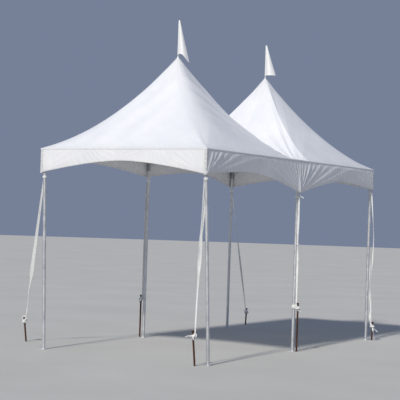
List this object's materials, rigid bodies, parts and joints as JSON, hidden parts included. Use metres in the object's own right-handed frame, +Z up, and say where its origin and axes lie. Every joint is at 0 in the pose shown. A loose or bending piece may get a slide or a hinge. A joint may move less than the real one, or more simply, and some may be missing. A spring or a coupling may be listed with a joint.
{
  "type": "marquee tent",
  "caption": "Oblong marquee tent with swept pointed peaks, arched valance, upright tube legs, taut guy straps to stakes and a pennant above each peak.",
  "frame": {"origin": "on the ground under the foot plate of the front middle leg", "axes": "+Z up, +X along the front, which is the long side with the deeper valance, +Y towards the back"},
  "size_m": [5.9256, 3.3503, 4.388],
  "materials": {
    "mill_aluminium": "satin mill-finish tube, a little dull from the weather",
    "galvanised_steel": "dull galvanised steel",
    "white_vinyl": "white vinyl-coated polyester, semi-gloss, slightly see-through to light",
    "white_webbing": "woven white polyester webbing, matt",
    "rusty_steel": "dark brown rusty steel bar"
  },
  "bodies": {
    "root": {"leg_front_left": "mill_aluminium", "leg_front_middle": "mill_aluminium", "leg_front_right": "mill_aluminium", "leg_back_left": "mill_aluminium", "leg_back_middle": "mill_aluminium", "leg_back_right": "mill_aluminium", "eave_tube_front_left": "mill_aluminium", "eave_tube_front_right": "mill_aluminium", "eave_tube_back_left": "mill_aluminium", "eave_tube_back_right": "mill_aluminium", "eave_tube_left_end": "mill_aluminium", "eave_tube_right_end": "mill_aluminium", "cross_tube": "mill_aluminium", "mast_left": "mill_aluminium", "mast_right": "mill_aluminium", "fitting_front_left": "galvanised_steel", "fitting_front_middle": "galvanised_steel", "fitting_front_right": "galvanised_steel", "fitting_back_left": "galvanised_steel", "fitting_back_middle": "galvanised_steel", "fitting_back_right": "galvanised_steel", "cable_left_to_front_left": "galvanised_steel", "cable_left_to_front_middle": "galvanised_steel", "cable_left_to_back_left": "galvanised_steel", "cable_left_to_back_middle": "galvanised_steel", "cable_right_to_front_middle": "galvanised_steel", "cable_right_to_front_right": "galvanised_steel", "cable_right_to_back_middle": "galvanised_steel", "cable_right_to_back_right": "galvanised_steel", "canopy_top": "white_vinyl", "valance_front": "white_vinyl", "valance_back": "white_vinyl", "valance_left": "white_vinyl", "valance_right": "white_vinyl", "pennant_left": "white_vinyl", "pennant_right": "white_vinyl", "strap_front_left": "white_webbing", "strap_front_middle": "white_webbing", "strap_front_right": "white_webbing", "strap_back_left": "white_webbing", "strap_back_middle": "white_webbing", "strap_back_right": "white_webbing", "stake_front_left": "rusty_steel", "stake_front_middle": "rusty_steel", "stake_front_right": "rusty_steel", "stake_back_left": "rusty_steel", "stake_back_middle": "rusty_steel", "stake_back_right": "rusty_steel"}
  },
  "joints": []
}
